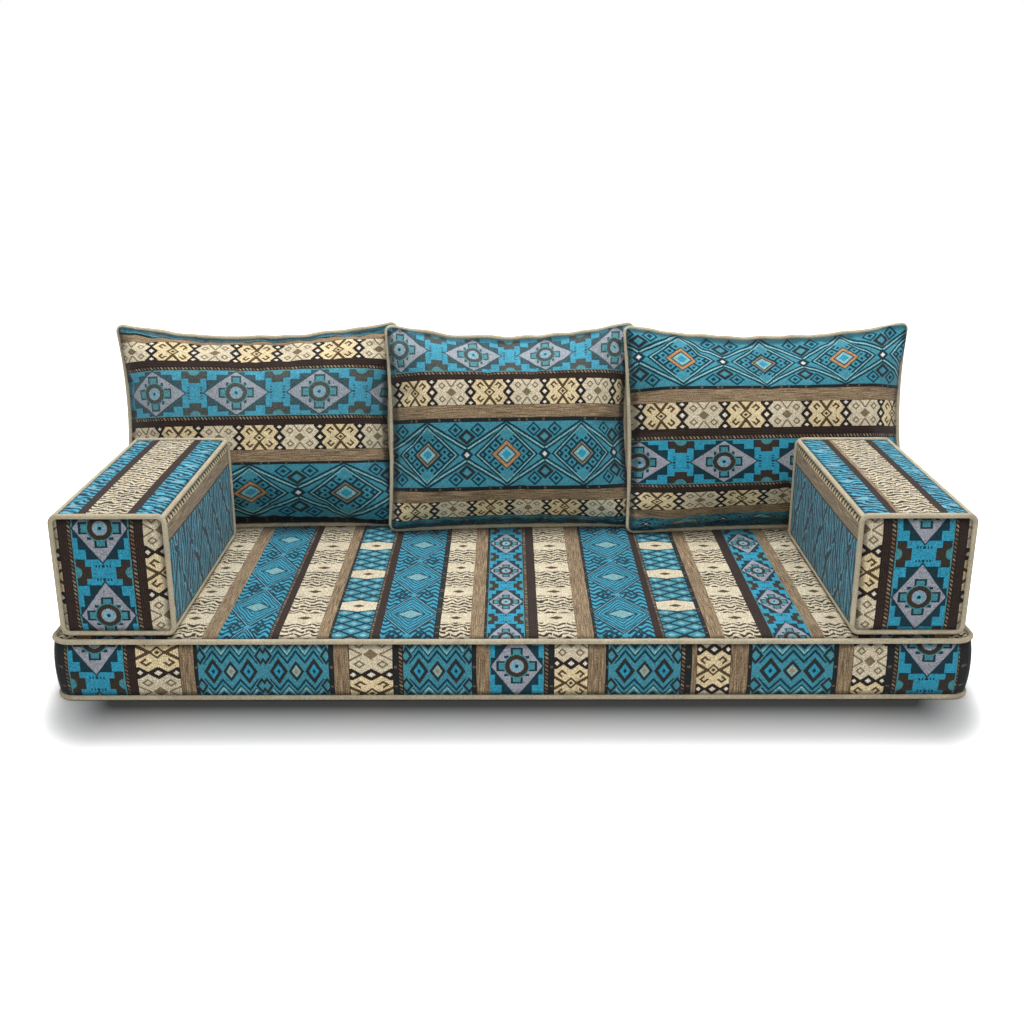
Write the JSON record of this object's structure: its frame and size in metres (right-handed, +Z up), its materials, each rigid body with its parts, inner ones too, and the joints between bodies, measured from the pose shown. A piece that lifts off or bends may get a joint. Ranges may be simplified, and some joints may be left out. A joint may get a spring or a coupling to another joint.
{
  "type": "majlis floor sofa",
  "caption": "Majlis floor sofa: a low seat mattress, box arm cushions and leaning back pillows in striped kilim cloth with piped seams.",
  "frame": {"origin": "centre of the seat mattress's flat underside, on the floor", "axes": "+X to the right as seen from the front, +Y to the back, +Z up"},
  "size_m": [2.022, 0.8845, 0.6448],
  "materials": {
    "kilim": "woven",
    "piping": "woven",
    "base_cloth": "plain woven",
    "foam": "open-cell foam",
    "fibre": "lofty fibre",
    "zip_tape": "woven tape",
    "zip_metal": "satin"
  },
  "bodies": {
    "seat": {"seat_border_panel": "kilim", "seat_bottom_panel": "base_cloth", "seat_bottom_piping": "piping", "seat_foam_core": "foam", "seat_top_panel": "kilim", "seat_top_piping": "piping", "seat_zip": "zip_tape"},
    "seat_slider": {"seat_zip_slider": "zip_metal"},
    "seat_pull": {"seat_zip_pull": "zip_metal"},
    "arm_left": {"arm_left_back_panel": "kilim", "arm_left_back_piping": "piping", "arm_left_bottom_panel": "kilim", "arm_left_edge_piping": "piping", "arm_left_foam_core": "foam", "arm_left_front_panel": "kilim", "arm_left_front_piping": "piping", "arm_left_inner_panel": "kilim", "arm_left_outer_panel": "kilim", "arm_left_top_panel": "kilim", "arm_left_zip": "zip_tape"},
    "arm_left_slider": {"arm_left_zip_slider": "zip_metal"},
    "arm_left_pull": {"arm_left_zip_pull": "zip_metal"},
    "arm_right": {"arm_right_back_panel": "kilim", "arm_right_back_piping": "piping", "arm_right_bottom_panel": "kilim", "arm_right_edge_piping": "piping", "arm_right_foam_core": "foam", "arm_right_front_panel": "kilim", "arm_right_front_piping": "piping", "arm_right_inner_panel": "kilim", "arm_right_outer_panel": "kilim", "arm_right_top_panel": "kilim", "arm_right_zip": "zip_tape"},
    "arm_right_slider": {"arm_right_zip_slider": "zip_metal"},
    "arm_right_pull": {"arm_right_zip_pull": "zip_metal"},
    "pillow_left": {"pillow_left_back_panel": "kilim", "pillow_left_fill": "fibre", "pillow_left_front_panel": "kilim", "pillow_left_piping": "piping", "pillow_left_zip": "zip_tape"},
    "pillow_left_slider": {"pillow_left_zip_slider": "zip_metal"},
    "pillow_left_pull": {"pillow_left_zip_pull": "zip_metal"},
    "pillow_middle": {"pillow_middle_back_panel": "kilim", "pillow_middle_fill": "fibre", "pillow_middle_front_panel": "kilim", "pillow_middle_piping": "piping", "pillow_middle_zip": "zip_tape"},
    "pillow_middle_slider": {"pillow_middle_zip_slider": "zip_metal"},
    "pillow_middle_pull": {"pillow_middle_zip_pull": "zip_metal"},
    "pillow_right": {"pillow_right_back_panel": "kilim", "pillow_right_fill": "fibre", "pillow_right_front_panel": "kilim", "pillow_right_piping": "piping", "pillow_right_zip": "zip_tape"},
    "pillow_right_slider": {"pillow_right_zip_slider": "zip_metal"},
    "pillow_right_pull": {"pillow_right_zip_pull": "zip_metal"}
  },
  "joints": [
    {"name": "arm_left_lift", "type": "slide", "parent": "seat", "child": "arm_left", "axis": [0, 0, 1], "range_m": [0, 0.56]},
    {"name": "arm_right_lift", "type": "slide", "parent": "seat", "child": "arm_right", "axis": [0, 0, 1], "range_m": [0, 0.56]},
    {"name": "pillow_left_lift", "type": "slide", "parent": "seat", "child": "pillow_left", "axis": [-0.0168, 0.2751, 0.9613], "range_m": [0, 0.56]},
    {"name": "pillow_middle_lift", "type": "slide", "parent": "seat", "child": "pillow_middle", "axis": [-0.0168, 0.2751, 0.9613], "range_m": [0, 0.56]},
    {"name": "pillow_right_lift", "type": "slide", "parent": "seat", "child": "pillow_right", "axis": [-0.0168, 0.2751, 0.9613], "range_m": [0, 0.56]},
    {"name": "seat_zip_slide", "type": "slide", "parent": "seat", "child": "seat_slider", "axis": [-1, 0, 0], "range_m": [0, 1.4834]},
    {"name": "seat_pull_hinge", "type": "hinge", "parent": "seat_slider", "child": "seat_pull", "pos_m": [0.7417, 0.4096, 0.0685], "axis": [0, 0, -1], "range_deg": [0, 180]},
    {"name": "arm_left_zip_slide", "type": "slide", "parent": "arm_left", "child": "arm_left_slider", "axis": [0, -1, 0], "range_m": [0, 0.4334]},
    {"name": "arm_left_pull_hinge", "type": "hinge", "parent": "arm_left_slider", "child": "arm_left_pull", "pos_m": [-0.92614, 0.1187, 0.19474], "axis": [0.0245, 0, -0.9997], "range_deg": [0, 180]},
    {"name": "arm_right_zip_slide", "type": "slide", "parent": "arm_right", "child": "arm_right_slider", "axis": [0, -1, 0], "range_m": [0, 0.4334]},
    {"name": "arm_right_pull_hinge", "type": "hinge", "parent": "arm_right_slider", "child": "arm_right_pull", "pos_m": [0.92614, 0.1187, 0.19474], "axis": [0.0245, 0, 0.9997], "range_deg": [0, 180]},
    {"name": "pillow_left_zip_slide", "type": "slide", "parent": "pillow_left", "child": "pillow_left_slider", "axis": [-0.9981, -0.061, 0], "range_m": [0, 0.4134]},
    {"name": "pillow_left_pull_hinge", "type": "hinge", "parent": "pillow_left_slider", "child": "pillow_left_pull", "pos_m": [-0.43873, 0.36378, 0.18245], "axis": [0.0378, -0.6187, -0.7847], "range_deg": [0, 180]},
    {"name": "pillow_middle_zip_slide", "type": "slide", "parent": "pillow_middle", "child": "pillow_middle_slider", "axis": [-0.9981, -0.061, 0], "range_m": [0, 0.4134]},
    {"name": "pillow_middle_pull_hinge", "type": "hinge", "parent": "pillow_middle_slider", "child": "pillow_middle_pull", "pos_m": [0.20627, 0.35878, 0.18245], "axis": [0.0378, -0.6187, -0.7847], "range_deg": [0, 180]},
    {"name": "pillow_right_zip_slide", "type": "slide", "parent": "pillow_right", "child": "pillow_right_slider", "axis": [-0.9981, -0.061, 0], "range_m": [0, 0.4134]},
    {"name": "pillow_right_pull_hinge", "type": "hinge", "parent": "pillow_right_slider", "child": "pillow_right_pull", "pos_m": [0.85777, 0.34678, 0.18253], "axis": [0.0378, -0.6187, -0.7847], "range_deg": [0, 180]}
  ]
}
